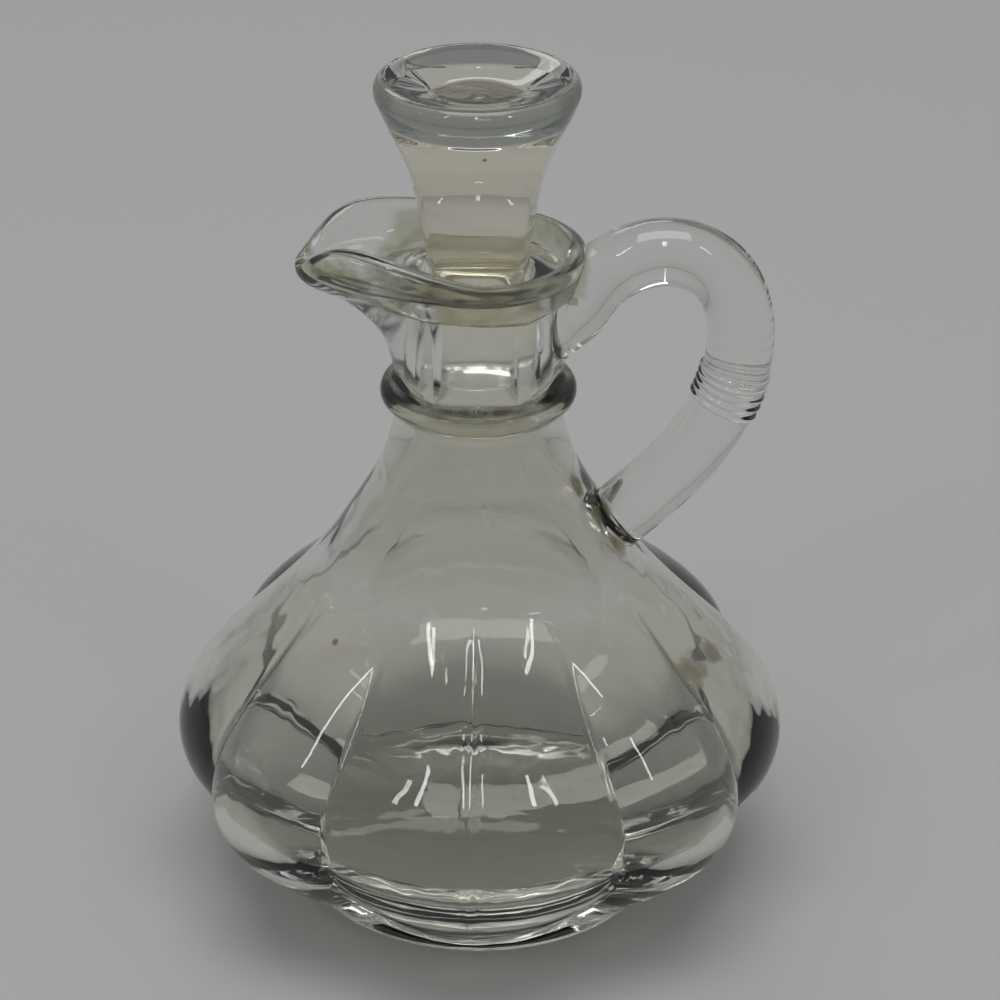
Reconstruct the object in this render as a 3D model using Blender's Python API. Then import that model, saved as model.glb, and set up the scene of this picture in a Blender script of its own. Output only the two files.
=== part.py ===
"""Pressed-glass cruet: a lobed bottle with a pouring spout and a rod handle, and its flared glass stopper.

The bottle is one piece of glass: foot, lobed body, shoulder, collar ring, six-sided neck, spout and handle.
The stopper is a second piece, which rests in the bore. The spout points to -X, the handle to +X, and one
wide lobe faces -Y. Metres, +Z up, with the origin under the middle of the foot.
"""
import math

import bmesh
import bpy
from mathutils import Vector

MM = 0.001

# Sides of the round sections
BOTTLE_SIDES = 72
STOPPER_SIDES = 48
ROD_SIDES = 16
SHARP_ANGLE = math.radians(35.0)

# Foot: a low ring round a shallow recess
FOOT_RADIUS = 33.0 * MM
FOOT_HEIGHT = 2.4 * MM
FOOT_EDGE = 1.2 * MM
RECESS_RADIUS = 24.0 * MM
RECESS_RUN = 4.5 * MM
RECESS_DEPTH = 0.6 * MM

# Body and shoulder: (height, radius) of the plain turned form that the grooves are cut into
BODY_PROFILE = tuple(
    (height * MM, radius * MM)
    for height, radius in (
        (2.4, 33.0), (8.0, 39.5), (16.0, 48.2), (22.0, 52.6), (28.0, 54.1), (34.0, 52.9),
        (40.0, 49.3), (50.0, 39.6), (60.0, 29.6), (70.0, 22.8), (80.0, 17.2), (90.5, 14.2),
    )
)
BASE_GLASS = 9.5 * MM
BASE_CORNER = 14.0 * MM
CORNER_POWER = 2.2
WALL = 3.0 * MM
SHOULDER_START = 67.0 * MM
CAVITY_TOP = 80.0 * MM
CAVITY_LOW = 26.0 * MM
CORNER_START = 0.25
CORNER_END = math.radians(88.0)

# Lobes: a wide one in front, behind and on each side, with a narrow one between each two
FIRST_GROOVE = math.radians(29.5)
SECOND_GROOVE = math.radians(65.0)
GROOVE_RADIUS = 0.92
NARROW_CREST = 1.025
GROOVE_TOP = 62.0 * MM
GROOVE_FADE = 16.0 * MM
GROOVE_FOOT = 7.0 * MM
INNER_GROOVE = 0.5

# Collar ring and six-sided neck
COLLAR_RADIUS = 16.8 * MM
COLLAR_HEIGHT = 94.2 * MM
COLLAR_HALF = 2.3 * MM
COLLAR_ROOT = 14.3 * MM
COLLAR_GAP = 0.6 * MM
NECK_FACE = 13.3 * MM
NECK_SIDES = 6
NECK_FLATNESS = 0.8

# Lip band, rim and spout
BAND_HEIGHT = 112.4 * MM
BAND_STEP = 2.9 * MM
BAND_EDGE = 0.5 * MM
BAND_FLATNESS = 0.2
CUP_PROFILE = ((114.6 * MM, 16.9 * MM), (116.6 * MM, 17.5 * MM), (118.8 * MM, 18.1 * MM))
RIM_HEIGHT = 120.4 * MM
RIM_RADIUS = 18.2 * MM
RIM_GLASS = 2.9 * MM
RIM_ROUNDING = ((0.0, 0.8 * MM), (0.5 * MM, 0.2 * MM), (1.3 * MM, 0.0), (2.3 * MM, 0.1 * MM))
RIM_INNER_DROP = 0.6 * MM
SPOUT_REACH = 12.5 * MM
SPOUT_ARC = math.radians(78.0)
SPOUT_NOSE = math.radians(9.0)
SPOUT_TAPER = 2.4
RIM_LIFT = tuple(
    (math.radians(turn), lift * MM)
    for turn, lift in (
        (0.0, -2.1), (7.0, -1.4), (12.0, 0.4), (17.0, 2.1), (25.0, 3.5), (37.0, 3.4),
        (50.0, 2.6), (65.0, 1.6), (80.0, 0.7), (95.0, 0.0),
    )
)
SPOUT_LINE = tuple(
    (height * MM, reach * MM)
    for height, reach in (
        (96.0, 14.0), (99.5, 14.8), (104.3, 16.4), (106.8, 18.2), (109.4, 20.7), (112.3, 24.4),
        (114.0, 27.3), (115.8, 29.6), (118.0, 30.7), (120.4, 30.7),
    )
)

# Bore and the bowl above it
BORE_TOP = 116.0 * MM
BORE_BOTTOM = 98.2 * MM
BORE_RADIUS = 9.4 * MM
BORE_TAPER = 0.8 * MM
BOWL_SHARES = ((0.0, 0.0), (0.07, 0.5), (0.18, 0.88), (0.45, 0.98), (1.0, 1.0))
THROAT_PROFILE = ((94.0 * MM, 9.3 * MM), (88.0 * MM, 10.7 * MM))

# Handle: (x, z) of the rod's middle line, from the neck to the shoulder
ROD_RADIUS = 5.75 * MM
HANDLE_PATH = tuple(
    (x * MM, z * MM)
    for x, z in (
        (15.4, 109.8), (22.8, 116.8), (32.3, 119.7), (40.5, 115.9),
        (44.2, 106.5), (42.9, 95.2), (36.3, 82.6), (23.2, 68.9),
    )
)
ROOT_HALF_HEIGHT = 9.4 * MM
ROOT_HALF_WIDTH = 5.0 * MM
ROOT_LENGTH = 7.0 * MM
ROOT_RINGS = ((12.4 * MM, 105.6 * MM, 5.4 * MM, 4.4 * MM), (14.8 * MM, 107.0 * MM, 7.0 * MM, 4.7 * MM))
RIDGE_COUNT = 5
RIDGE_PITCH = 1.5 * MM
RIDGE_RISE = 0.45 * MM
RIDGE_PLACE = 51.5 * MM
WALL_LEAN = (-0.877, -0.480)

# Stopper: (height, radius) of the turned form, and its soft panels
STOPPER_PROFILE = tuple(
    (height * MM, radius * MM)
    for height, radius in (
        (98.8, 8.2), (113.0, 8.95), (119.6, 9.15), (126.0, 10.0), (132.7, 11.4),
        (138.0, 13.1), (143.7, 15.5), (146.6, 16.7),
    )
)
STOPPER_HEIGHT = 150.5 * MM
STOPPER_RIM = 17.1 * MM
STOPPER_DISH = 2.8 * MM
DISH_RADIUS = 7.5 * MM
PEG_BOTTOM = 98.0 * MM
PEG_CHAMFER = 0.7 * MM
PANEL_COUNT = 4
PANEL_FLATNESS = 0.24
PANEL_LOW = 115.5 * MM
PANEL_HIGH = 144.2 * MM
PANEL_LEDGE = 0.9 * MM
PANEL_SINK = 0.4 * MM
PANEL_RUN_IN = 3.0 * MM
RIM_START = 145.2 * MM
RIM_STEPS = ((0.0, 2.0 * MM), (0.5 * MM, 0.7 * MM), (1.6 * MM, 0.0), (3.2 * MM, 0.1 * MM), (5.6 * MM, 0.8 * MM))


def smooth_step(value):
    """Rise from 0 to 1 with level ends."""
    value = min(1.0, max(0.0, value))
    return value * value * (3.0 - 2.0 * value)


def curve_at(points, position):
    """Read the smooth curve through (position, value) points at one position."""
    last = len(points) - 1
    first = 0
    while first < last - 1 and position > points[first + 1][0]:
        first += 1

    def slope(index):
        low = points[max(0, index - 1)]
        high = points[min(last, index + 1)]
        return (high[1] - low[1]) / (high[0] - low[0])

    (start, low_value), (end, high_value) = points[first], points[first + 1]
    span = end - start
    t = (position - start) / span
    return (
        (2.0 * t ** 3 - 3.0 * t ** 2 + 1.0) * low_value
        + (t ** 3 - 2.0 * t ** 2 + t) * span * slope(first)
        + (3.0 * t ** 2 - 2.0 * t ** 3) * high_value
        + (t ** 3 - t ** 2) * span * slope(first + 1)
    )


def evenly(low, high, count):
    """Values from low to high, with both ends."""
    return [low + (high - low) * index / (count - 1) for index in range(count)]


def polar(angle, radius, height):
    """A point round the bottle's axis, with angle 0 at +X."""
    return Vector((radius * math.cos(angle), radius * math.sin(angle), height))


def lobe_arc(turn, half_angle, crest):
    """Radius on the arc of one lobe, for a body of radius 1, at an angle from the lobe's middle."""
    chord = GROOVE_RADIUS * math.sin(half_angle)
    rise = crest - GROOVE_RADIUS * math.cos(half_angle)
    bend = (chord * chord + rise * rise) / (2.0 * rise)
    centre = crest - bend
    return centre * math.cos(turn) + math.sqrt(bend * bend - (centre * math.sin(turn)) ** 2)


def lobe_ratio(angle):
    """Radius of the lobed section, for a body of radius 1."""
    from_front = abs(math.remainder(angle + math.pi / 2.0, math.pi))
    if from_front <= FIRST_GROOVE:
        return lobe_arc(from_front, FIRST_GROOVE, 1.0)
    if from_front <= SECOND_GROOVE:
        middle = (FIRST_GROOVE + SECOND_GROOVE) / 2.0
        return lobe_arc(from_front - middle, SECOND_GROOVE - middle, NARROW_CREST)
    return lobe_arc(math.pi / 2.0 - from_front, math.pi / 2.0 - SECOND_GROOVE, 1.0)


def groove_strength(height):
    """How far the grooves are cut at a height: nothing at the foot and up the shoulder."""
    return smooth_step((GROOVE_TOP - height) / GROOVE_FADE) * smooth_step(height / GROOVE_FOOT)


def body_ring(height):
    """Outside of the body and shoulder."""
    radius = curve_at(BODY_PROFILE, height)
    strength = groove_strength(height)
    return lambda angle: polar(angle, radius * (1.0 - strength * (1.0 - lobe_ratio(angle))), height)


def cavity_ring(height):
    """Inside of the body: a wall's thickness in, with softer grooves and a rounded bottom corner."""
    step = 0.5 * MM
    slope = (curve_at(BODY_PROFILE, height + step) - curve_at(BODY_PROFILE, height - step)) / (2.0 * step)
    radius = curve_at(BODY_PROFILE, height) - WALL * math.hypot(1.0, slope)
    rise = (BASE_GLASS + BASE_CORNER - height) / BASE_CORNER
    if rise > 0.0:
        radius *= (1.0 - rise ** CORNER_POWER) ** (1.0 / CORNER_POWER)
    strength = INNER_GROOVE * groove_strength(height)
    return lambda angle: polar(angle, radius * (1.0 - strength * (1.0 - lobe_ratio(angle))), height)


def round_ring(radius, height):
    """A plain circle round the axis."""
    return lambda angle: polar(angle, radius, height)


def panel_ratio(angle, sides, flatness):
    """Radius of a soft polygon with one side facing -Y, where the middle of a side has a radius of 1."""
    turn = math.remainder(angle + math.pi / 2.0, 2.0 * math.pi / sides)
    return 1.0 + flatness * (1.0 / math.cos(turn) - 1.0)


def spout_pull(angle):
    """How far a point of the rim is drawn out: 1 at the spout's nose, 0 past its arc."""
    turn = abs(math.remainder(angle - math.pi, 2.0 * math.pi))
    soft = math.hypot(turn, SPOUT_NOSE) - SPOUT_NOSE
    return max(0.0, 1.0 - soft / SPOUT_ARC) ** SPOUT_TAPER


def spout_lift(angle):
    """How far the rim rises beside the spout and droops at its nose."""
    turn = abs(math.remainder(angle - math.pi, 2.0 * math.pi))
    return curve_at(RIM_LIFT, turn) if turn < RIM_LIFT[-1][0] else 0.0


def neck_ring(height, radius, flatness):
    """Outside of the neck and lip band, with the spout growing out of it upwards."""
    corner = radius * panel_ratio(math.pi, NECK_SIDES, flatness)
    reach = max(0.0, curve_at(SPOUT_LINE, height) - corner)
    lift = smooth_step((height - BORE_BOTTOM) / (RIM_HEIGHT - BORE_BOTTOM)) ** 3

    def point(angle):
        out = radius * panel_ratio(angle, NECK_SIDES, flatness) + reach * spout_pull(angle)
        return polar(angle, out, height + lift * spout_lift(angle))

    return point


def rim_ring(inset, drop):
    """A ring of the rim, set in from its outer edge and down from its top."""

    def point(angle):
        out = RIM_RADIUS - inset + SPOUT_REACH * spout_pull(angle)
        return polar(angle, out, RIM_HEIGHT - drop + spout_lift(angle))

    return point


def bowl_ring(inward, downward):
    """A ring of the bowl between the rim's inner edge and the top of the bore, as shares of the way."""

    def point(angle):
        out = RIM_RADIUS - RIM_GLASS + SPOUT_REACH * spout_pull(angle)
        top = RIM_HEIGHT - RIM_INNER_DROP + spout_lift(angle)
        return polar(angle, out + (BORE_RADIUS - out) * inward, top + (BORE_TOP - top) * downward)

    return point


def skin(name, sides, rings, material):
    """Extrude a closed circle of edges from ring to ring, and cap the first and the last."""
    mesh = bmesh.new()
    turn = mesh.verts.layers.float.new("turn")
    circle = bmesh.ops.create_circle(mesh, segments=sides, radius=1.0)["verts"]
    for vertex in circle:
        vertex[turn] = math.atan2(vertex.co.y, vertex.co.x)
        vertex.co = rings[0](vertex[turn])
    bmesh.ops.contextual_create(mesh, geom=circle)
    edges = [edge for edge in mesh.edges if edge.is_boundary]
    for ring in rings[1:]:
        fresh = bmesh.ops.extrude_edge_only(mesh, edges=edges)["geom"]
        edges = [item for item in fresh if isinstance(item, bmesh.types.BMEdge)]
        for vertex in (item for item in fresh if isinstance(item, bmesh.types.BMVert)):
            vertex.co = ring(vertex[turn])
    bmesh.ops.contextual_create(mesh, geom=edges)
    bmesh.ops.recalc_face_normals(mesh, faces=mesh.faces)
    bmesh.ops.triangulate(mesh, faces=[face for face in mesh.faces if len(face.verts) == 4])
    data = bpy.data.meshes.new(name)
    mesh.verts.layers.float.remove(turn)
    mesh.to_mesh(data)
    mesh.free()
    data.materials.append(material)
    data.shade_smooth()
    data.set_sharp_from_angle(angle=SHARP_ANGLE)
    thing = bpy.data.objects.new(name, data)
    bpy.context.scene.collection.objects.link(thing)
    return thing


def glass(name, colour):
    """Clear soda glass with a slight cast."""
    material = bpy.data.materials.new(name)
    material.use_nodes = True
    shader = material.node_tree.nodes["Principled BSDF"]
    shader.inputs["Base Color"].default_value = (*colour, 1.0)
    shader.inputs["Metallic"].default_value = 0.0
    shader.inputs["Roughness"].default_value = 0.03
    shader.inputs["IOR"].default_value = 1.51
    shader.inputs["Transmission Weight"].default_value = 1.0
    return material


def bottle_rings():
    """Every ring of the bottle, from the recess under the foot, up the outside and down the inside."""
    rings = [
        round_ring(RECESS_RADIUS, RECESS_DEPTH),
        round_ring(RECESS_RADIUS + RECESS_RUN, 0.0),
        round_ring(FOOT_RADIUS - FOOT_EDGE, 0.0),
        round_ring(FOOT_RADIUS, FOOT_EDGE),
    ]
    rings += [body_ring(height) for height in evenly(FOOT_HEIGHT, GROOVE_TOP, 20)]
    rings += [body_ring(height) for height in evenly(SHOULDER_START, BODY_PROFILE[-1][0], 6)]
    for turn in evenly(-math.pi / 2.0, math.pi / 2.0, 7):
        out = COLLAR_ROOT + (COLLAR_RADIUS - COLLAR_ROOT) * math.cos(turn)
        rings.append(round_ring(out, COLLAR_HEIGHT + COLLAR_HALF * math.sin(turn)))
    rings += [
        neck_ring(height, NECK_FACE, NECK_FLATNESS)
        for height in evenly(COLLAR_HEIGHT + COLLAR_HALF + COLLAR_GAP, BAND_HEIGHT, 6)
    ]
    rings.append(neck_ring(BAND_HEIGHT + BAND_EDGE, NECK_FACE + BAND_STEP, BAND_FLATNESS))
    rings += [neck_ring(height, radius, 0.0) for height, radius in CUP_PROFILE]
    rings += [rim_ring(inset, drop) for inset, drop in RIM_ROUNDING]
    rings += [bowl_ring(inward, downward) for inward, downward in BOWL_SHARES]
    rings.append(round_ring(BORE_RADIUS - BORE_TAPER, BORE_BOTTOM))
    rings += [round_ring(radius, height) for height, radius in THROAT_PROFILE]
    rings += [cavity_ring(height) for height in evenly(CAVITY_TOP, CAVITY_LOW, 10)]
    for share in evenly(CORNER_START, 1.0, 5):
        drop = BASE_CORNER * math.sin(share * CORNER_END)
        rings.append(cavity_ring(BASE_GLASS + BASE_CORNER - drop))
    return rings


def path_point(share):
    """The handle's middle line, as a smooth curve through its points, with share from 0 to 1."""
    count = len(HANDLE_PATH)
    xs = tuple((index / (count - 1), x) for index, (x, _) in enumerate(HANDLE_PATH))
    zs = tuple((index / (count - 1), z) for index, (_, z) in enumerate(HANDLE_PATH))
    return Vector((curve_at(xs, share), 0.0, curve_at(zs, share)))


def rod_ring(centre, ahead, half_height, half_width):
    """A ring round the rod, square to the direction that it runs in."""
    across = Vector((-ahead.z, 0.0, ahead.x)).normalized()
    side = Vector((0.0, 1.0, 0.0))
    return lambda angle: (
        centre + across * (half_height * math.cos(angle)) + side * (half_width * math.sin(angle))
    )


def handle_rings():
    """Every ring of the handle: its flared root in the neck, the bent rod with its ridges, and its end."""
    fine = [path_point(share) for share in evenly(0.0, 1.0, 241)]
    lengths = [0.0]
    for low, high in zip(fine, fine[1:]):
        lengths.append(lengths[-1] + (high - low).length)
    total = lengths[-1]

    def at_length(length):
        index = 1
        while index < len(lengths) - 1 and lengths[index] < length:
            index += 1
        share = (length - lengths[index - 1]) / (lengths[index] - lengths[index - 1])
        return fine[index - 1].lerp(fine[index], share), (fine[index] - fine[index - 1]).normalized()

    across = Vector((1.0, 0.0, 0.0))
    rings = [rod_ring(Vector((x, 0.0, z)), across, high, wide) for x, z, high, wide in ROOT_RINGS]
    half = RIDGE_COUNT * RIDGE_PITCH / 2.0
    stops = evenly(0.0, ROOT_LENGTH, 5)
    stops += evenly(ROOT_LENGTH, RIDGE_PLACE - half, 12)[1:]
    first_ridge = len(stops)
    stops += evenly(RIDGE_PLACE - half, RIDGE_PLACE + half, 2 * RIDGE_COUNT + 1)[1:]
    stops += evenly(RIDGE_PLACE + half, total, 9)[1:]
    for index, length in enumerate(stops):
        centre, ahead = at_length(length)
        root = 1.0 - smooth_step(length / ROOT_LENGTH)
        high = ROD_RADIUS + (ROOT_HALF_HEIGHT - ROD_RADIUS) * root
        wide = ROD_RADIUS + (ROOT_HALF_WIDTH - ROD_RADIUS) * root
        if abs(length - RIDGE_PLACE) < half and (index - first_ridge) % 2 == 0:
            high += RIDGE_RISE
            wide += RIDGE_RISE
        ahead = ahead.lerp(across, root).normalized()
        if index == len(stops) - 1:
            ahead = Vector((WALL_LEAN[0], 0.0, WALL_LEAN[1]))
        rings.append(rod_ring(centre, ahead, high, wide))
    return rings


def make_bottle(material):
    """The bottle's turned and drawn form, with the handle fused on."""
    bottle = skin("cruet_bottle", BOTTLE_SIDES, bottle_rings(), material)
    handle = skin("handle_rod", ROD_SIDES, handle_rings(), material)
    union = bottle.modifiers.new("handle", "BOOLEAN")
    union.operation = "UNION"
    union.solver = "EXACT"
    union.object = handle
    bpy.context.view_layer.objects.active = bottle
    with bpy.context.temp_override(object=bottle, active_object=bottle):
        bpy.ops.object.modifier_apply(modifier=union.name)
    bpy.data.objects.remove(handle, do_unlink=True)
    return bottle


def make_stopper(material):
    """The solid stopper: a plain peg, a flared body with four soft faces, and a thick dished rim."""

    def body(height):
        pressed = smooth_step((height - PANEL_LOW) / PANEL_RUN_IN)
        pressed *= smooth_step((PANEL_HIGH - height) / PANEL_LEDGE)
        flatness = PANEL_FLATNESS * pressed
        radius = curve_at(STOPPER_PROFILE, height) - PANEL_SINK * pressed
        return lambda angle: polar(angle, radius * panel_ratio(angle, PANEL_COUNT, flatness), height)

    rings = [round_ring(STOPPER_PROFILE[0][1] - PEG_CHAMFER, PEG_BOTTOM)]
    rings += [body(height) for height in evenly(STOPPER_PROFILE[0][0], PANEL_LOW, 4)]
    rings += [body(height) for height in evenly(PANEL_LOW, PANEL_HIGH - PANEL_LEDGE, 8)[1:]]
    rings += [body(height) for height in (PANEL_HIGH, RIM_START, STOPPER_PROFILE[-1][0])]
    rings += [round_ring(STOPPER_RIM - inset, STOPPER_HEIGHT - drop) for inset, drop in RIM_STEPS]
    rings.append(round_ring(DISH_RADIUS, STOPPER_HEIGHT - STOPPER_DISH))
    return skin("stopper", STOPPER_SIDES, rings, material)


for old in list(bpy.data.objects):
    bpy.data.objects.remove(old, do_unlink=True)

make_bottle(glass("bottle_glass", (0.93, 0.95, 0.90)))
make_stopper(glass("stopper_glass", (0.95, 0.94, 0.87)))
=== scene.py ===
import math

import bpy
import numpy as np
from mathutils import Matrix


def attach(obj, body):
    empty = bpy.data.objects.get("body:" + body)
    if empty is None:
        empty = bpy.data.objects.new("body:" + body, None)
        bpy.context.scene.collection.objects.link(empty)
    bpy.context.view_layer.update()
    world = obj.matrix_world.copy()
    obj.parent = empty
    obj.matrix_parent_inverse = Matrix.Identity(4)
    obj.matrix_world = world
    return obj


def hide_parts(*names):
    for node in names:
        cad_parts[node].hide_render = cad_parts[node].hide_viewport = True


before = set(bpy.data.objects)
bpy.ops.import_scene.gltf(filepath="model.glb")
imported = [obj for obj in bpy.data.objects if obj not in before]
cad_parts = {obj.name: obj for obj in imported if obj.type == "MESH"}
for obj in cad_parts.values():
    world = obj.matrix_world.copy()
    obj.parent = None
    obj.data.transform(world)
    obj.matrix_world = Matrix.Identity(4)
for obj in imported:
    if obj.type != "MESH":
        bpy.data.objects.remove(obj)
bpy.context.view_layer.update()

# Bottle. One piece of clear pressed soda glass, empty: a squat lobed body on a low foot ring, a hollow
# shoulder, a collar ring, a six-sided neck and a cup drawn out to a spout. Its half section is drawn as a
# chain of points and spun round the axis, then the grooves, the neck's faces and the spout are pressed in.
MM = 0.001
BOTTLE_SIDES = 256
FOOT_RADIUS = 33.0 * MM
FOOT_EDGE = 1.2 * MM
FOOT_HEIGHT = 2.4 * MM
RECESS_RADIUS = 28.5 * MM
RECESS_DEPTH = 0.6 * MM
LOW_BELLY = 22.0 * MM
HIGH_BELLY = 34.0 * MM
BODY_HEIGHTS = np.array([2.4, 8.0, 16.0, 22.0, 28.0, 34.0, 40.0, 50.0, 60.0, 70.0, 80.0, 90.5]) * MM
BODY_RADII = np.array([33.0, 39.5, 48.2, 52.6, 54.0, 52.9, 49.3, 39.6, 29.6, 22.8, 17.2, 14.2]) * MM
WALL = 3.0 * MM
SLOPE_REACH = 0.5 * MM
CAVITY_TOP = 91.0 * MM
THROAT_LOW = 78.0 * MM
THROAT_RUN = 16.0 * MM
THROAT_RADIUS = 9.6 * MM
BASE_GLASS = 9.5 * MM
BASE_CORNER = 14.0 * MM
CORNER_POWER = 2.2
FIRST_GROOVE = math.radians(29.5)
SECOND_GROOVE = math.radians(65.0)
GROOVE_RADIUS = 0.92
NARROW_CREST = 1.025
GROOVE_TOP = 62.0 * MM
GROOVE_FADE = 16.0 * MM
GROOVE_FOOT = 7.0 * MM
INNER_GROOVE = 0.5
COLLAR_RADIUS = 16.8 * MM
COLLAR_HEIGHT = 94.2 * MM
COLLAR_HALF = 2.3 * MM
COLLAR_ROOT = 14.3 * MM
NECK_FACE = 13.3 * MM
NECK_SIDES = 6
NECK_FLATNESS = 0.5
BAND_HEIGHT = 112.4 * MM
BAND_FACE = 16.2 * MM
CUP_HEIGHTS = np.array([113.1, 114.6, 116.6, 118.8]) * MM
CUP_RADII = np.array([16.2, 16.9, 17.5, 18.1]) * MM
FACE_FADE = 2.5 * MM
RIM_HEIGHT = 120.4 * MM
RIM_RADIUS = 18.2 * MM
RIM_GLASS = 2.9 * MM
RIM_ROUND = 1.1 * MM
BOWL_CORNER = 2.4 * MM
BOWL_FLAT = (12.4 * MM, 10.4 * MM)
SPOUT_REACH = 12.5 * MM
SPOUT_ARC = math.radians(78.0)
SPOUT_NOSE = math.radians(9.0)
SPOUT_POWER = 2.4
LIFT_TURNS = np.radians([0.0, 7.0, 12.0, 17.0, 25.0, 37.0, 50.0, 65.0, 80.0, 95.0])
RIM_LIFTS = np.array([-2.1, -1.4, 0.4, 2.1, 3.5, 3.4, 2.6, 1.6, 0.7, 0.0]) * MM
SPOUT_HEIGHTS = np.array([96.0, 99.5, 104.3, 106.8, 109.4, 112.3, 114.0, 115.8, 118.0, 120.4]) * MM
SPOUT_LINE = np.array([14.0, 14.8, 16.4, 18.2, 20.7, 24.4, 27.3, 29.6, 30.7, 30.7]) * MM
BORE_TOP = 116.0 * MM
BORE_BOTTOM = 98.2 * MM
BORE_RADIUS = 9.4 * MM
BORE_TAPER = 0.8 * MM
BORE_EDGE = 0.6 * MM
SEAM_RISE = 0.28 * MM
SEAM_WIDTH = 0.7 * MM
SEAM_TOP = 64.0 * MM
SEAM_FADE = 8.0 * MM
SEAM_RUN_IN = 4.0 * MM
SEAM_STEPS = 6
SEAM_GATHER = 0.6
PIP_HEIGHT = 53.8 * MM
PIP_RISE = 0.5 * MM
PIP_WIDTH = 1.1 * MM
SKIN = 1.0 * MM
HAIR = 0.01 * MM


def smooth_step(value):
    """Rise from 0 to 1 with level ends."""
    value = np.clip(value, 0.0, 1.0)
    return value * value * (3.0 - 2.0 * value)


def fair_curve(places, values, at):
    """Read the natural spline through (place, value) points, which bends evenly, as glass does."""
    places, values, at = np.asarray(places), np.asarray(values), np.asarray(at)
    steps = np.diff(places)
    slopes = np.diff(values) / steps
    system = np.eye(len(places))
    pull = np.zeros(len(places))
    for index in range(1, len(places) - 1):
        before, after = steps[index - 1], steps[index]
        system[index, index - 1:index + 2] = before, 2.0 * (before + after), after
        pull[index] = 6.0 * (slopes[index] - slopes[index - 1])
    bend = np.linalg.solve(system, pull)
    span = np.clip(np.searchsorted(places, at) - 1, 0, len(steps) - 1)
    step, low, high = steps[span], at - places[span], places[span + 1] - at
    return (
        (bend[span] * high ** 3 + bend[span + 1] * low ** 3) / (6.0 * step)
        + (values[span] / step - bend[span] * step / 6.0) * high
        + (values[span + 1] / step - bend[span + 1] * step / 6.0) * low
    )


def lobe_arc(turn, half_angle, crest):
    """Radius on the arc of one lobe, for a body of radius 1, at an angle from the lobe's middle."""
    chord = GROOVE_RADIUS * math.sin(half_angle)
    rise = crest - GROOVE_RADIUS * math.cos(half_angle)
    bend = (chord * chord + rise * rise) / (2.0 * rise)
    centre = crest - bend
    return centre * np.cos(turn) + np.sqrt(np.maximum(bend * bend - (centre * np.sin(turn)) ** 2, 0.0))


def lobe_ratio(angle):
    """Radius of the lobed section, for a body of radius 1."""
    quarter = math.pi / 2.0
    from_front = np.abs(np.remainder(angle + math.pi, math.pi) - quarter)
    middle = (FIRST_GROOVE + SECOND_GROOVE) / 2.0
    return np.where(
        from_front <= FIRST_GROOVE,
        lobe_arc(from_front, FIRST_GROOVE, 1.0),
        np.where(
            from_front <= SECOND_GROOVE,
            lobe_arc(from_front - middle, SECOND_GROOVE - middle, NARROW_CREST),
            lobe_arc(quarter - from_front, quarter - SECOND_GROOVE, 1.0),
        ),
    )


def groove_strength(height):
    """How far the grooves are pressed in at a height: nothing at the foot and up the shoulder."""
    return smooth_step((GROOVE_TOP - height) / GROOVE_FADE) * smooth_step(height / GROOVE_FOOT)


def panel_ratio(angle, sides, flatness):
    """Radius of a soft polygon with one side facing -Y, where the middle of a side has a radius of 1."""
    half = math.pi / sides
    turn = np.remainder(angle + math.pi / 2.0 + half, 2.0 * half) - half
    return 1.0 + flatness * (1.0 / np.cos(turn) - 1.0)


def from_spout(angle):
    """Angle from the spout's nose, on either side of it."""
    return np.abs(np.remainder(angle + 2.0 * math.pi, 2.0 * math.pi) - math.pi)


def spout_pull(angle):
    """How far a point of the rim is drawn out: 1 at the spout's nose, 0 past its arc."""
    soft = np.hypot(from_spout(angle), SPOUT_NOSE) - SPOUT_NOSE
    return np.maximum(0.0, 1.0 - soft / SPOUT_ARC) ** SPOUT_POWER


def spout_lift(angle):
    """How far the rim rises beside the spout and droops at its nose."""
    turn = from_spout(angle)
    lift = fair_curve(LIFT_TURNS, RIM_LIFTS, np.minimum(turn, LIFT_TURNS[-1]))
    return np.where(turn < LIFT_TURNS[-1], lift, 0.0)


def body_radius(height):
    """Radius of the body's round form at a height, before the grooves are pressed in."""
    return fair_curve(BODY_HEIGHTS, BODY_RADII, height)


def inside_radius(height):
    """Radius of the hollow at a height, one wall's thickness in from the body's face."""
    top = BODY_HEIGHTS[-1]
    above = body_radius(np.minimum(height + SLOPE_REACH, top))
    below = body_radius(np.minimum(height, top - SLOPE_REACH) - SLOPE_REACH)
    slope = (above - below) / (2.0 * SLOPE_REACH)
    return body_radius(np.minimum(height, top)) - WALL * np.hypot(1.0, slope)


def arc(centre, radii, start, end, count):
    """Points of an arc in the half section, from one angle to another in degrees."""
    turns = np.radians(np.linspace(start, end, count))
    return [(centre[0] + radii[0] * math.cos(turn), centre[1] + radii[1] * math.sin(turn)) for turn in turns]


def spin_section(name, section, sides):
    """Draw a half section as a chain of points from one primitive, and spin it round the axis."""
    bpy.ops.object.select_all(action="DESELECT")
    bpy.ops.mesh.primitive_plane_add(size=MM, enter_editmode=True)
    bpy.ops.mesh.select_all(action="SELECT")
    bpy.ops.mesh.merge(type="CENTER")
    bpy.ops.transform.translate(value=(section[0][0], 0.0, section[0][1]))
    for last, point in zip(section, section[1:]):
        step = (point[0] - last[0], 0.0, point[1] - last[1])
        bpy.ops.mesh.extrude_vertices_move(TRANSFORM_OT_translate={"value": step})
    bpy.ops.mesh.select_all(action="SELECT")
    bpy.ops.mesh.spin(steps=sides, angle=2.0 * math.pi, center=(0.0, 0.0, 0.0), axis=(0.0, 0.0, 1.0))
    bpy.ops.mesh.select_all(action="SELECT")
    bpy.ops.mesh.remove_doubles(threshold=0.001 * MM)
    bpy.ops.mesh.normals_make_consistent(inside=False)
    bpy.ops.object.mode_set(mode="OBJECT")
    turned = bpy.context.object
    turned.name = name
    return turned


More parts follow.
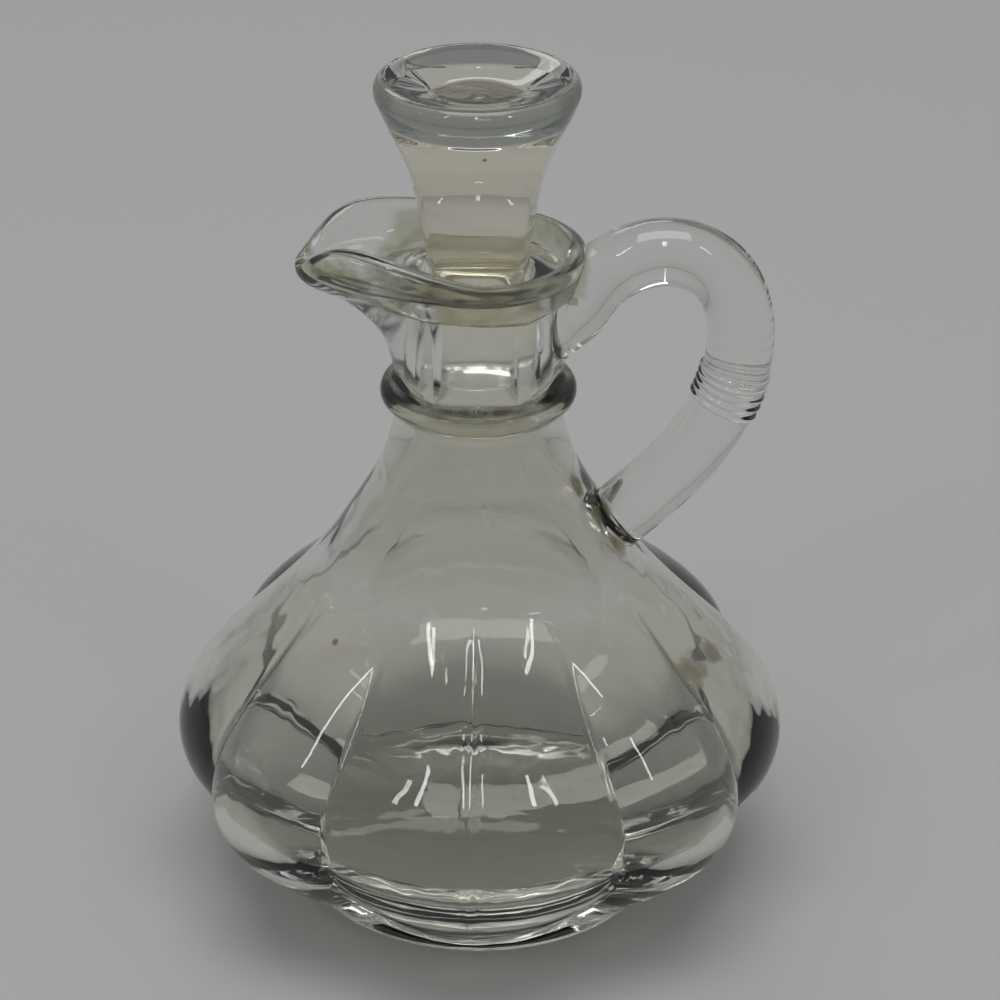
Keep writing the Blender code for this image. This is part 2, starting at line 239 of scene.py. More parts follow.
def read_points(thing):
    """Places of a mesh's points, one row each."""
    points = np.empty(len(thing.data.vertices) * 3)
    thing.data.vertices.foreach_get("co", points)
    return points.reshape(-1, 3)


def move_points(thing, points):
    """Put a mesh's points at new places."""
    thing.data.vertices.foreach_set("co", np.ascontiguousarray(points).ravel())
    thing.data.update()


recess_run = np.linspace(0.0, 1.0, 15)
foot = [(RECESS_RADIUS * run, RECESS_DEPTH * (1.0 - run * run)) for run in recess_run]
foot += arc((FOOT_RADIUS - FOOT_EDGE, FOOT_EDGE), (FOOT_EDGE, FOOT_EDGE), -90.0, 0.0, 7)
body_heights = np.concatenate([
    np.linspace(FOOT_HEIGHT, LOW_BELLY, 30), np.linspace(LOW_BELLY, HIGH_BELLY, 18)[1:],
    np.linspace(HIGH_BELLY, BODY_HEIGHTS[-1], 62)[1:],
])
outside = foot + list(zip(body_radius(body_heights), body_heights))
outside += arc((COLLAR_ROOT, COLLAR_HEIGHT), (COLLAR_RADIUS - COLLAR_ROOT, COLLAR_HALF), -86.0, 84.0, 17)
neck_heights = np.linspace(COLLAR_HEIGHT + COLLAR_HALF + 0.5 * MM, BAND_HEIGHT, 14)
outside += [(NECK_FACE, height) for height in neck_heights]
outside += [(NECK_FACE + 1.6 * MM, BAND_HEIGHT + 0.15 * MM), (BAND_FACE - 0.45 * MM, BAND_HEIGHT + 0.3 * MM)]
fine_cup = np.linspace(CUP_HEIGHTS[0], CUP_HEIGHTS[-1], 10)
outside += list(zip(fair_curve(CUP_HEIGHTS, CUP_RADII, fine_cup), fine_cup))
bowl_top = RIM_HEIGHT - RIM_ROUND
rim_middle = RIM_RADIUS - RIM_GLASS / 2.0
rim = arc((rim_middle, bowl_top), (RIM_GLASS / 2.0, RIM_ROUND), 12.0, 168.0, 13)
bowl_centre = (RIM_RADIUS - RIM_GLASS - BOWL_CORNER, BORE_TOP + BOWL_CORNER)
bowl = arc(bowl_centre, (BOWL_CORNER, -BOWL_CORNER), 0.0, 85.0, 11)
bowl += [(bowl_side, BORE_TOP) for bowl_side in np.linspace(*BOWL_FLAT, 4)]
bore = arc((BORE_RADIUS + BORE_EDGE, BORE_TOP - BORE_EDGE), (BORE_EDGE, BORE_EDGE), 110.0, 180.0, 5)
bore_heights = np.linspace(BORE_TOP - BORE_EDGE - MM, BORE_BOTTOM, 8)
bore += [(BORE_RADIUS - BORE_TAPER * (BORE_TOP - z) / (BORE_TOP - BORE_BOTTOM), z) for z in bore_heights]
inner_heights = np.linspace(CAVITY_TOP, BASE_GLASS + BASE_CORNER, 56)
throat = smooth_step((inner_heights - THROAT_LOW) / THROAT_RUN)
inner_radii = inside_radius(inner_heights) * (1.0 - throat) + THROAT_RADIUS * throat
cavity = list(zip(inner_radii, inner_heights))
corner_rise = np.sin(np.radians(np.linspace(5.0, 88.0, 22)))
corner_heights = BASE_GLASS + BASE_CORNER * (1.0 - corner_rise)
corner_radii = inside_radius(corner_heights) * (1.0 - corner_rise ** CORNER_POWER) ** (1.0 / CORNER_POWER)
cavity += list(zip(corner_radii, corner_heights)) + [(0.0, BASE_GLASS)]
section = [(float(radius), float(height)) for radius, height in outside + rim + bowl + bore + cavity]
bottle = spin_section("bottle", section, BOTTLE_SIDES)

points = read_points(bottle)
angle = np.arctan2(points[:, 1], points[:, 0])
radius = np.hypot(points[:, 0], points[:, 1])
height = points[:, 2].copy()
seam_turn = np.remainder(angle + math.pi, math.pi) - math.pi / 2.0
seam_reach = SEAM_STEPS * 2.0 * math.pi / BOTTLE_SIDES
drawn_in = np.minimum(np.abs(seam_turn) / seam_reach, 1.0) ** SEAM_GATHER
angle = np.where(np.abs(seam_turn) < seam_reach, angle - seam_turn * (1.0 - drawn_in), angle)
seam_turn = np.remainder(angle + math.pi, math.pi) - math.pi / 2.0
outer_radius = body_radius(np.clip(height, BODY_HEIGHTS[0], BODY_HEIGHTS[-1]))
in_body = (height > FOOT_HEIGHT - HAIR) & (height < BODY_HEIGHTS[-1])
hollow = 1.0 - lobe_ratio(angle)
hollow = np.where(radius > outer_radius - SKIN, hollow, INNER_GROOVE * hollow)
lobed = radius * (1.0 - groove_strength(height) * hollow)
seam_side = seam_turn * radius
seam = SEAM_RISE * np.exp(-(seam_side / SEAM_WIDTH) ** 2) * smooth_step((SEAM_TOP - height) / SEAM_FADE)
seam = seam * smooth_step((height - FOOT_HEIGHT) / SEAM_RUN_IN)
pip = PIP_RISE * np.exp(-(seam_side ** 2 + (height - PIP_HEIGHT) ** 2) / PIP_WIDTH ** 2) * (angle < 0.0)
seam = np.where(radius > outer_radius - SKIN, np.maximum(seam, pip), 0.0)
radius = np.where(in_body, lobed + seam, radius)
on_neck = (height > COLLAR_HEIGHT + COLLAR_HALF) & (radius > NECK_FACE - HAIR)
on_neck &= (height < bowl_top) | (radius > rim_middle)
cup_outer = fair_curve(CUP_HEIGHTS, CUP_RADII, np.clip(height, CUP_HEIGHTS[0], CUP_HEIGHTS[-1]))
on_neck &= (height < BAND_HEIGHT + 0.5 * MM) | (radius > cup_outer - SKIN) | (height > bowl_top)
flatness = NECK_FLATNESS * (1.0 - smooth_step((height - BAND_HEIGHT) / FACE_FADE))
faceted = radius * panel_ratio(angle, NECK_SIDES, flatness)
growth = smooth_step((height - BORE_BOTTOM) / (RIM_HEIGHT - BORE_BOTTOM)) ** 3
corner = radius * panel_ratio(np.full_like(angle, math.pi), NECK_SIDES, flatness)
spout_line = fair_curve(SPOUT_HEIGHTS, SPOUT_LINE, np.clip(height, SPOUT_HEIGHTS[0], SPOUT_HEIGHTS[-1]))
spout_reach = np.where(height > bowl_top, SPOUT_REACH, np.maximum(spout_line - corner, 0.0))
drawn = faceted + spout_reach * spout_pull(angle)
in_bowl = (height > BORE_TOP - 0.7 * MM) & (radius > BORE_RADIUS - HAIR) & ~on_neck
share = np.clip((radius - BORE_RADIUS) / (RIM_RADIUS - RIM_GLASS - BORE_RADIUS), 0.0, 1.0)
drop = np.clip((height - BORE_TOP) / (bowl_top - BORE_TOP), 0.0, 1.0)
bowl_radius = radius + SPOUT_REACH * spout_pull(angle) * share
radius = np.where(on_neck, drawn, np.where(in_bowl, bowl_radius, radius))
lift = np.where(on_neck, growth, np.where(in_bowl, drop, 0.0))
points = np.stack([radius * np.cos(angle), radius * np.sin(angle), height + lift * spout_lift(angle)], axis=1)
move_points(bottle, points)

# Handle. A round rod of the same glass, fused on while hot: it leaves the neck on a tall root, bends over
# above the rim and runs down into the shoulder, with five small ridges across it. A straight rod is drawn out
# slice by slice and bent along its line, and its ends are sunk into the bottle and joined to it.
ROD_SIDES = 48
ROD_RADIUS = 5.75 * MM
HANDLE_X = np.array([15.4, 22.8, 32.3, 40.5, 44.2, 42.9, 36.3, 23.2]) * MM
HANDLE_Z = np.array([109.8, 116.8, 119.7, 115.9, 106.5, 95.2, 82.6, 68.9]) * MM
ROOT_HALF_HEIGHT = 9.4 * MM
ROOT_HALF_WIDTH = 5.0 * MM
ROOT_LENGTH = 7.0 * MM
RIDGE_COUNT = 5
RIDGE_PITCH = 1.5 * MM
RIDGE_RISE = 0.45 * MM
RIDGE_PLACE = 51.5 * MM
ROD_SINKS = np.array([-3.0, -0.6, 0.0]) * MM
SINK_DROPS = np.array([-4.2, -2.8, 0.0]) * MM
SINK_HALF_HEIGHTS = np.array([5.4, 7.0, 9.4]) * MM
SINK_HALF_WIDTHS = np.array([4.4, 4.7, 5.0]) * MM
LINE_POINTS = 2000

chords = np.concatenate([[0.0], np.cumsum(np.hypot(np.diff(HANDLE_X), np.diff(HANDLE_Z)))])
fine = np.linspace(0.0, chords[-1], LINE_POINTS)
fine_x = fair_curve(chords, HANDLE_X, fine)
fine_z = fair_curve(chords, HANDLE_Z, fine)
lengths = np.concatenate([[0.0], np.cumsum(np.hypot(np.diff(fine_x), np.diff(fine_z)))])
rod_length = lengths[-1]
ridge_half = RIDGE_COUNT * RIDGE_PITCH / 2.0
ridge_start, ridge_end = RIDGE_PLACE - ridge_half, RIDGE_PLACE + ridge_half
slices = np.concatenate([
    ROD_SINKS[:2], np.linspace(0.0, ROOT_LENGTH, 12), np.linspace(ROOT_LENGTH, ridge_start, 50)[1:],
    np.linspace(ridge_start, ridge_end, 8 * RIDGE_COUNT + 1)[1:], np.linspace(ridge_end, rod_length, 30)[1:],
])
bpy.ops.object.select_all(action="DESELECT")
bpy.ops.mesh.primitive_circle_add(
    vertices=ROD_SIDES, radius=ROD_RADIUS, fill_type="NGON", enter_editmode=True,
    location=(slices[0], 0.0, 0.0), rotation=(0.0, math.pi / 2.0, 0.0),
)
bpy.ops.mesh.select_all(action="SELECT")
for step in np.diff(slices):
    bpy.ops.mesh.extrude_region_move(TRANSFORM_OT_translate={"value": (step, 0.0, 0.0)})
bpy.ops.mesh.select_all(action="SELECT")
bpy.ops.mesh.normals_make_consistent(inside=False)
bpy.ops.object.mode_set(mode="OBJECT")
handle = bpy.context.object
handle.name = "handle"
bpy.ops.object.transform_apply(location=True, rotation=True, scale=True)

points = read_points(handle)
along = np.clip(points[:, 0], 0.0, rod_length)
ahead_x = np.interp(along, lengths, np.gradient(fine_x, lengths))
ahead_z = np.interp(along, lengths, np.gradient(fine_z, lengths))
root = 1.0 - smooth_step(points[:, 0] / ROOT_LENGTH)
ahead_x = ahead_x * (1.0 - root) + root
ahead_z = ahead_z * (1.0 - root)
ahead = np.hypot(ahead_x, ahead_z)
ahead_x, ahead_z = ahead_x / ahead, ahead_z / ahead
ridge_turn = (along - ridge_start) / RIDGE_PITCH
on_ridges = (ridge_turn > 0.0) & (ridge_turn < RIDGE_COUNT)
ridge = np.where(on_ridges, np.sin(math.pi * np.clip(ridge_turn, 0.0, RIDGE_COUNT)) ** 2, 0.0) * RIDGE_RISE
half_high = ROD_RADIUS + (ROOT_HALF_HEIGHT - ROD_RADIUS) * root + ridge
half_wide = ROD_RADIUS + (ROOT_HALF_WIDTH - ROD_RADIUS) * root + ridge
beyond = points[:, 0] - along
sunk = beyond < 0.0
half_high = np.where(sunk, np.interp(beyond, ROD_SINKS, SINK_HALF_HEIGHTS), half_high)
half_wide = np.where(sunk, np.interp(beyond, ROD_SINKS, SINK_HALF_WIDTHS), half_wide)
high = points[:, 2] / ROD_RADIUS * half_high
wide = points[:, 1] / ROD_RADIUS * half_wide
bent_x = np.interp(along, lengths, fine_x) - ahead_z * high + ahead_x * beyond
bent_z = np.interp(along, lengths, fine_z) + ahead_x * high + ahead_z * beyond
bent_z = bent_z + np.where(sunk, np.interp(beyond, ROD_SINKS, SINK_DROPS), 0.0)
move_points(handle, np.stack([bent_x, wide, bent_z], axis=1))

bpy.context.view_layer.objects.active = bottle
join = bottle.modifiers.new("fuse the handle", "BOOLEAN")
join.operation = "UNION"
join.solver = "MANIFOLD"
join.object = handle
bpy.ops.object.modifier_apply(modifier=join.name)
bpy.data.objects.remove(handle, do_unlink=True)
bpy.ops.object.select_all(action="DESELECT")
bottle.select_set(True)
bpy.ops.object.shade_smooth()

# The bottle's glass. Clear pressed soda glass, fire-polished and never quite even, so it has a slow waviness
# and a faint haze. It is old: a thin film dulls it, and olive-brown grime sits where a cloth doesn't reach.
GLASS_BEND = 1.51
HAZE_SCALE = 45.0
GRAIN_SCALE = 350.0
WAVE_SCALE = 75.0
WAVE_DEPTH = 0.5 * MM
CLEAN_POLISH = 0.01


def stain_and_shade_group():
    """A ragged round spot at a place on the glass: its mask is 1 in the middle and 0 outside its reach."""
    group = bpy.data.node_groups.new("stain_and_shade", "ShaderNodeTree")
    group.interface.new_socket("Place", in_out="INPUT", socket_type="NodeSocketVector")
    group.interface.new_socket("Reach", in_out="INPUT", socket_type="NodeSocketFloat")
    group.interface.new_socket("Ragged", in_out="INPUT", socket_type="NodeSocketFloat")
    group.interface.new_socket("Grain", in_out="INPUT", socket_type="NodeSocketFloat")
    group.interface.new_socket("Mask", in_out="OUTPUT", socket_type="NodeSocketFloat")
    nodes, links = group.nodes, group.links
    entry, leave = nodes.new("NodeGroupInput"), nodes.new("NodeGroupOutput")
    place = nodes.new("ShaderNodeTexCoord")
    away = nodes.new("ShaderNodeVectorMath")
    away.operation = "DISTANCE"
    links.new(place.outputs["Object"], away.inputs[0])
    links.new(entry.outputs["Place"], away.inputs[1])
    share = nodes.new("ShaderNodeMath")
    share.operation = "DIVIDE"
    links.new(away.outputs["Value"], share.inputs[0])
    links.new(entry.outputs["Reach"], share.inputs[1])
    rough = nodes.new("ShaderNodeMath")
    rough.operation = "MULTIPLY_ADD"
    links.new(entry.outputs["Grain"], rough.inputs[0])
    links.new(entry.outputs["Ragged"], rough.inputs[1])
    links.new(share.outputs["Value"], rough.inputs[2])
    fall = nodes.new("ShaderNodeMapRange")
    fall.interpolation_type = "SMOOTHSTEP"
    fall.inputs["From Min"].default_value = 1.25
    fall.inputs["From Max"].default_value = 0.75
    links.new(rough.outputs["Value"], fall.inputs["Value"])
    links.new(fall.outputs["Result"], leave.inputs["Mask"])
    return group


def band_group():
    """A band between two heights and two radii, broken up by the grain: its mask runs from 0 to 1."""
    group = bpy.data.node_groups.new("height_band", "ShaderNodeTree")
    names = ["Height", "Radius", "Grain", "Least"]
    for edge in ("Low", "High", "Inner", "Outer"):
        names += [edge + " Start", edge + " End"]
    for name in names:
        group.interface.new_socket(name, in_out="INPUT", socket_type="NodeSocketFloat")
    group.interface.new_socket("Mask", in_out="OUTPUT", socket_type="NodeSocketFloat")
    nodes, links = group.nodes, group.links
    entry, leave = nodes.new("NodeGroupInput"), nodes.new("NodeGroupOutput")

    def step(value, start, end):
        ramp = nodes.new("ShaderNodeMapRange")
        ramp.interpolation_type = "SMOOTHSTEP"
        links.new(entry.outputs[value], ramp.inputs["Value"])
        links.new(entry.outputs[start], ramp.inputs["From Min"])
        links.new(entry.outputs[end], ramp.inputs["From Max"])
        return ramp.outputs["Result"]

    def times(first, second):
        product = nodes.new("ShaderNodeMath")
        product.operation = "MULTIPLY"
        links.new(first, product.inputs[0])
        links.new(second, product.inputs[1])
        return product.outputs["Value"]

    mask = times(step("Height", "Low Start", "Low End"), step("Height", "High End", "High Start"))
    mask = times(mask, step("Radius", "Inner Start", "Inner End"))
    mask = times(mask, step("Radius", "Outer End", "Outer Start"))
    gaps = nodes.new("ShaderNodeMapRange")
    gaps.inputs["From Min"].default_value = 0.35
    gaps.inputs["From Max"].default_value = 0.65
    links.new(entry.outputs["Grain"], gaps.inputs["Value"])
    links.new(entry.outputs["Least"], gaps.inputs["To Min"])
    links.new(times(mask, gaps.outputs["Result"]), leave.inputs["Mask"])
    return group


STAIN_AND_SHADE = stain_and_shade_group()
BAND = band_group()


def pressed_glass(name, tint, bands, stains_and_shade, dull):
    """Glass with its film and grime, and with painted shade and a painted reflection: each band or spot lays
    a colour over the tint, and dulls the polish.

    A band has its low and high edge, softness, inner and outer radius in millimetres, how broken up it is,
    its colour and how much it dulls. A spot of dirt or of painted shade has its place and reach in
    millimetres, how ragged it is, its colour and how much it dulls.
    """
    material = bpy.data.materials.new(name)
    material.use_nodes = True
    nodes, links = material.node_tree.nodes, material.node_tree.links
    shader = nodes["Principled BSDF"]
    shader.inputs["IOR"].default_value = GLASS_BEND
    shader.inputs["Transmission Weight"].default_value = 1.0
    colour = nodes.new("ShaderNodeRGB")
    colour.outputs["Color"].default_value = (*tint, 1.0)
    colour = colour.outputs["Color"]
    place = nodes.new("ShaderNodeTexCoord")
    haze = nodes.new("ShaderNodeTexNoise")
    haze.inputs["Scale"].default_value = HAZE_SCALE
    haze.inputs["Detail"].default_value = 3.0
    links.new(place.outputs["Object"], haze.inputs["Vector"])
    polish = nodes.new("ShaderNodeMapRange")
    polish.inputs["From Min"].default_value = 0.45
    polish.inputs["From Max"].default_value = 0.75
    polish.inputs["To Min"].default_value = CLEAN_POLISH
    polish.inputs["To Max"].default_value = dull
    links.new(haze.outputs["Fac"], polish.inputs["Value"])
    polish = polish.outputs["Result"]
    grain = nodes.new("ShaderNodeTexNoise")
    grain.inputs["Scale"].default_value = GRAIN_SCALE
    grain.inputs["Detail"].default_value = 3.0
    links.new(place.outputs["Object"], grain.inputs["Vector"])
    split = nodes.new("ShaderNodeSeparateXYZ")
    flat = nodes.new("ShaderNodeCombineXYZ")
    radius = nodes.new("ShaderNodeVectorMath")
    radius.operation = "LENGTH"
    links.new(place.outputs["Object"], split.inputs["Vector"])
    links.new(split.outputs["X"], flat.inputs["X"])
    links.new(split.outputs["Y"], flat.inputs["Y"])
    links.new(flat.outputs["Vector"], radius.inputs[0])
    marks = []
    for low, high, soft, inner, outer, broken, paint, roughness in bands:
        node = nodes.new("ShaderNodeGroup")
        node.node_tree = BAND
        for edge, value in (("Low", low), ("High", high), ("Inner", inner), ("Outer", outer)):
            node.inputs[edge + " Start"].default_value = (value - soft / 2.0) * MM
            node.inputs[edge + " End"].default_value = (value + soft / 2.0) * MM
        node.inputs["Least"].default_value = 1.0 - broken
        links.new(split.outputs["Z"], node.inputs["Height"])
        links.new(radius.outputs["Value"], node.inputs["Radius"])
        links.new(grain.outputs["Fac"], node.inputs["Grain"])
        marks.append((node.outputs["Mask"], paint, roughness))
    for spot, reach, ragged, paint, roughness in stains_and_shade:
        node = nodes.new("ShaderNodeGroup")
        node.node_tree = STAIN_AND_SHADE
        node.inputs["Place"].default_value = [value * MM for value in spot]
        node.inputs["Reach"].default_value = reach * MM
        node.inputs["Ragged"].default_value = ragged
        links.new(grain.outputs["Fac"], node.inputs["Grain"])
        marks.append((node.outputs["Mask"], paint, roughness))
    for mask, paint, roughness in marks:
        lay = nodes.new("ShaderNodeMix")
        lay.data_type = "RGBA"
        lay.blend_type = "MULTIPLY"
        lay.inputs["B"].default_value = (*paint, 1.0)
        links.new(mask, lay.inputs["Factor"])
        links.new(colour, lay.inputs["A"])
        colour = lay.outputs["Result"]
        if roughness:
            dulled = nodes.new("ShaderNodeMath")
            dulled.operation = "MULTIPLY_ADD"
            dulled.inputs[1].default_value = roughness
            links.new(mask, dulled.inputs[0])
            links.new(polish, dulled.inputs[2])
            polish = dulled.outputs["Value"]
    links.new(colour, shader.inputs["Base Color"])
    links.new(polish, shader.inputs["Roughness"])
    slow = nodes.new("ShaderNodeTexNoise")
    slow.inputs["Scale"].default_value = WAVE_SCALE
    slow.inputs["Detail"].default_value = 2.0
    slow.inputs["Roughness"].default_value = 0.45
    links.new(place.outputs["Object"], slow.inputs["Vector"])
    bump = nodes.new("ShaderNodeBump")
    bump.inputs["Strength"].default_value = 0.5
    bump.inputs["Distance"].default_value = WAVE_DEPTH
    links.new(slow.outputs["Fac"], bump.inputs["Height"])
    links.new(bump.outputs["Normal"], shader.inputs["Normal"])
    return material


FILM = (0.90, 0.885, 0.84)
THIN_FILM = (0.95, 0.94, 0.90)
GRIME = (0.10, 0.09, 0.03)
BROWN = (0.34, 0.29, 0.13)
OLIVE = (0.52, 0.51, 0.36)
TAN = (0.86, 0.78, 0.62)
SPECK = (0.25, 0.16, 0.08)
FAINT_FILM = (0.98, 0.98, 0.96)
BOTTLE_TINT = (0.955, 0.96, 0.935)
BOTTLE_HAZE = 0.06
bottle_bands = (
    (-5.0, 60.0, 6.0, -5.0, 80.0, 0.15, THIN_FILM, 0.0),
    (60.0, 92.0, 6.0, -5.0, 24.0, 0.15, FILM, 0.0),
    (91.8, 95.8, 0.8, 13.8, 18.0, 0.2, OLIVE, 0.12),
    (95.5, 97.0, 0.4, 13.0, 16.4, 0.25, GRIME, 0.3),
    (97.0, 112.0, 1.0, 12.4, 17.0, 0.3, FAINT_FILM, 0.13),
    (113.4, 121.5, 1.6, 15.0, 18.9, 0.4, OLIVE, 0.24),
    (111.9, 113.4, 0.4, 13.2, 17.6, 0.3, BROWN, 0.3),
)
bottle_stains = (
    ((18.6, -1.5, 77.0), 4.6, 0.9, GRIME, 0.3),
    ((21.0, -4.0, 72.5), 4.6, 0.9, GRIME, 0.25),
    ((24.6, -5.0, 67.0), 4.6, 0.9, BROWN, 0.2),
    ((-30.0, 2.0, 118.6), 3.6, 0.9, BROWN, 0.1),
    ((-21.0, -8.0, 117.0), 8.0, 0.8, OLIVE, 0.12),
    ((-27.0, -4.0, 118.0), 6.0, 0.8, OLIVE, 0.12),
    ((36.9, -14.8, 47.4), 7.0, 1.1, TAN, 0.4),
    ((40.9, -8.3, 47.3), 5.0, 1.1, TAN, 0.4),
    ((32.9, -24.0, 49.3), 3.6, 1.1, TAN, 0.4),
    ((-23.8, -22.6, 56.7), 0.7, 0.2, SPECK, 0.1),
)
bottle.data.materials.clear()
bottle_glass = pressed_glass("bottle_glass", BOTTLE_TINT, bottle_bands, bottle_stains, BOTTLE_HAZE)
bottle.data.materials.append(bottle_glass)
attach(bottle, "root")
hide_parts("cruet_bottle")

# Stopper. A second, solid piece of glass with a faint straw cast: a plain peg that rests in the bore, a
# flared body with four soft faces, and a thick round rim over a small ledge, dished on top. It is spun from
# its half section like the bottle, and then its four faces are pressed flat.
STOPPER_SIDES = 160
STOPPER_HEIGHTS = np.array([98.8, 113.0, 119.6, 126.0, 132.7, 138.0, 143.7, 146.6]) * MM
STOPPER_RADII = np.array([8.2, 8.95, 9.15, 10.0, 11.4, 13.1, 15.5, 16.7]) * MM
STOPPER_TOP = 150.5 * MM
STOPPER_RIM = 17.1 * MM
PEG_BOTTOM = 98.0 * MM
PEG_EDGE = 0.8 * MM
PEG_CENTRE = 4.0 * MM
SIDE_START = 98.9 * MM
RIM_START = 143.0 * MM
TOP_ROUND = (1.9 * MM, 2.1 * MM)
TOP_START = 147.6 * MM
DISH_PLACES = np.array([0.0, 4.0, 7.5, 9.5, 11.5, 13.6, 15.2]) * MM
DISH_DROPS = np.array([2.8, 2.8, 2.6, 1.8, 1.0, 0.3, 0.0]) * MM
DISH_EDGE = 14.9 * MM
PANEL_COUNT = 4
PANEL_FLATNESS = 0.45
PANEL_LOW = 115.5 * MM
PANEL_RUN_IN = 3.0 * MM
PANEL_HIGH = 144.2 * MM
PANEL_LEDGE = 0.9 * MM
PANEL_SINK = 0.4 * MM
PANEL_REACH = 7.0 * MM

peg = [(0.0, PEG_BOTTOM), (PEG_CENTRE, PEG_BOTTOM)]
peg_edge = (STOPPER_RADII[0] - PEG_EDGE, PEG_BOTTOM + PEG_EDGE)
peg += arc(peg_edge, (PEG_EDGE, PEG_EDGE), -90.0, -5.0, 6)
side_heights = np.concatenate([
    np.linspace(SIDE_START, PANEL_LOW, 16), np.linspace(PANEL_LOW, RIM_START, 32)[1:],
    np.linspace(RIM_START, STOPPER_HEIGHTS[-1], 22)[1:],
])
side = list(zip(fair_curve(STOPPER_HEIGHTS, STOPPER_RADII, side_heights), side_heights))
top_edge = [(STOPPER_RIM - 0.05 * MM, TOP_START)]
top_edge += arc((STOPPER_RIM - TOP_ROUND[0], STOPPER_TOP - TOP_ROUND[1]), TOP_ROUND, 0.0, 90.0, 12)
fine_dish = np.linspace(DISH_EDGE, 0.0, 24)
dish = list(zip(fine_dish, STOPPER_TOP - fair_curve(DISH_PLACES, DISH_DROPS, fine_dish)))
section = [(float(radius), float(height)) for radius, height in peg + side + top_edge + dish]
stopper = spin_section("glass_stopper", section, STOPPER_SIDES)

points = read_points(stopper)
angle = np.arctan2(points[:, 1], points[:, 0])
height = points[:, 2]
pressed = smooth_step((height - PANEL_LOW) / PANEL_RUN_IN) * smooth_step((PANEL_HIGH - height) / PANEL_LEDGE)
reach = np.hypot(points[:, 0], points[:, 1])
pressed = np.where(reach > PANEL_REACH, pressed, 0.0)
narrowed = 1.0 - PANEL_SINK * pressed / np.maximum(reach, MM)
narrowed = narrowed * panel_ratio(angle, PANEL_COUNT, PANEL_FLATNESS * pressed)
points[:, :2] *= narrowed[:, None]
move_points(stopper, points)
bpy.ops.object.select_all(action="DESELECT")
stopper.select_set(True)
bpy.ops.object.shade_smooth()

# Painted light on the stopper: the dark blue-grey band round its rim is a painted reflection of the dim room
# above it, and the darker patches at the rim's left and right sides are painted shade.
RIM_PAINTED_REFLECTION = (0.27, 0.31, 0.32)
RIM_SIDE_PAINTED_SHADE = (0.50, 0.51, 0.48)
STRAW = (0.97, 0.95, 0.88)
SEED = (0.2, 0.16, 0.1)
STOPPER_TINT = (0.93, 0.91, 0.84)
STOPPER_HAZE = 0.04
stopper_bands = (
    # painted reflection of the dim room above, laid as a dark blue-grey band round the rim
    (144.2, 150.3, 0.8, 13.4, 20.0, 0.0, RIM_PAINTED_REFLECTION, 0.0),
    (110.0, 143.6, 1.0, -5.0, 20.0, 0.2, STRAW, 0.0),
)
stopper_seeds_and_painted_shade = (
    # painted shade at the rim's left and right sides
    ((-15.6, -6.0, 147.4), 6.5, 0.4, RIM_SIDE_PAINTED_SHADE, 0.05),
    ((15.6, -6.0, 147.4), 6.5, 0.4, RIM_SIDE_PAINTED_SHADE, 0.05),
    ((1.6, -14.1, 141.5), 0.45, 0.2, SEED, 0.1),
    ((-8.9, -9.1, 134.9), 0.4, 0.2, SEED, 0.1),
)
stopper.data.materials.clear()
stopper_glass = pressed_glass("stopper_glass", STOPPER_TINT, stopper_bands, stopper_seeds_and_painted_shade, STOPPER_HAZE)
stopper.data.materials.append(stopper_glass)
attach(stopper, "root")
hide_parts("stopper")

# Floor. A plain pale sheet, not part of the object, level with the foot. It has a flat, even paint, and the
# backdrop below has one of its own.
FLOOR_SIZE = 6.0
FLOOR_PAINT = (0.50, 0.495, 0.485)


def flat_paint(name, colour, roughness):
    """An even paint for the floor and the backdrop."""
    paint = bpy.data.materials.new(name)
    paint.use_nodes = True
    shader = paint.node_tree.nodes["Principled BSDF"]
    shader.inputs["Base Color"].default_value = (*colour, 1.0)
    shader.inputs["Roughness"].default_value = roughness
    return paint


bpy.ops.mesh.primitive_grid_add(size=FLOOR_SIZE, x_subdivisions=2, y_subdivisions=2)
floor = bpy.context.object
floor.name = "floor"
floor.data.materials.append(flat_paint("pale_floor", FLOOR_PAINT, 0.7))

# Backdrop. A plain pale sheet, not part of the object, that stands far behind the cruet. It is out of the
# picture, and only the glass shows it.
BACKDROP_PLACE = (0.0, 1.5, 0.25)
BACKDROP_SIZE = (5.0, 0.7, 1.0)
BACKDROP_PAINT = (0.78, 0.77, 0.74)

bpy.ops.mesh.primitive_grid_add(
    size=1.0, x_subdivisions=2, y_subdivisions=2, location=BACKDROP_PLACE, rotation=(math.pi / 2.0, 0.0, 0.0),
)
backdrop = bpy.context.object
backdrop.name = "backdrop"
backdrop.scale = BACKDROP_SIZE
backdrop.data.materials.append(flat_paint("pale_backdrop", BACKDROP_PAINT, 0.8))

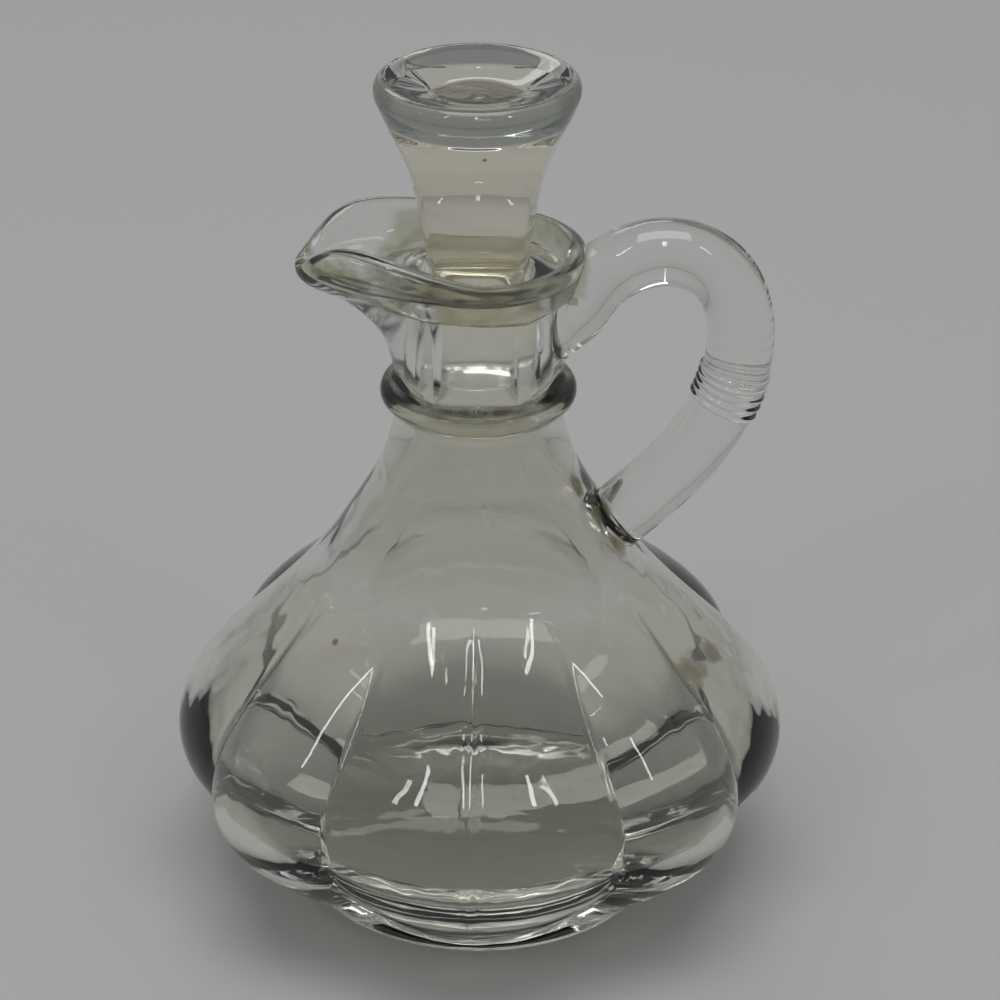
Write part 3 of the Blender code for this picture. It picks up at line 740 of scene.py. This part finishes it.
# Light. A soft box overhead, a lower one behind the cruet and three narrow lamps in front and to the sides,
# whose thin glints the lobes show, in a dim room. Each row has the lamp's place and aim, its size in metres
# and its power in watts.
SOFT_BOXES = {
    "overhead_box": ((0.0, -0.2, 1.8), (0.0, 0.2, 0.0), (1.3, 0.9), 11.0),
    "back_box": ((-0.5, 2.2, 1.6), (0.0, 0.2, 0.0), (1.4, 0.4), 4.0),
    "strip_lamp_0": ((-0.75, -0.96, 1.25), (0.0, 0.0, 0.05), (0.07, 0.4), 1.0),
    "strip_lamp_1": ((0.0, -0.96, 1.25), (0.0, 0.0, 0.05), (0.07, 0.4), 1.0),
    "strip_lamp_2": ((0.85, -0.96, 1.25), (0.0, 0.0, 0.05), (0.07, 0.4), 1.0),
}
ROOM_COLOUR = (0.93, 0.96, 1.0)
ROOM_STRENGTH = 0.34

for name, (place, aim, size, power) in SOFT_BOXES.items():
    light = bpy.data.lights.new(name, "AREA")
    light.shape = "RECTANGLE"
    light.size, light.size_y = size
    light.energy = power
    lamp = bpy.data.objects.new(name, light)
    bpy.context.scene.collection.objects.link(lamp)
    lamp.location = place
    away = [to - start for to, start in zip(aim, place)]
    length = math.sqrt(sum(part * part for part in away))
    lamp.rotation_euler = (math.acos(-away[2] / length), 0.0, math.atan2(away[1], away[0]) - math.pi / 2.0)

world = bpy.data.worlds.new("dim_room")
bpy.context.scene.world = world
world.use_nodes = True
room = world.node_tree.nodes["Background"]
room.inputs["Color"].default_value = (*ROOM_COLOUR, 1.0)
room.inputs["Strength"].default_value = ROOM_STRENGTH

# Camera. As the photograph was taken: in front of the cruet, about 0.61 m from it, looking down at 28
# degrees.
CAMERA_PLACE = (0.0170, -0.5087, 0.3430)
CAMERA_TILT = math.radians(62.0)
CAMERA_TURN = math.radians(1.5)
SENSOR_WIDTH = 36.0
FOCAL_LENGTH = 119.5

lens = bpy.data.cameras.new("camera")
lens.sensor_width = SENSOR_WIDTH
lens.lens = FOCAL_LENGTH
lens.clip_start = 0.01
camera = bpy.data.objects.new("camera", lens)
bpy.context.scene.collection.objects.link(camera)
camera.location = CAMERA_PLACE
camera.rotation_euler = (CAMERA_TILT, 0.0, CAMERA_TURN)
bpy.context.scene.camera = camera
bpy.context.scene.view_settings.view_transform = "Standard"
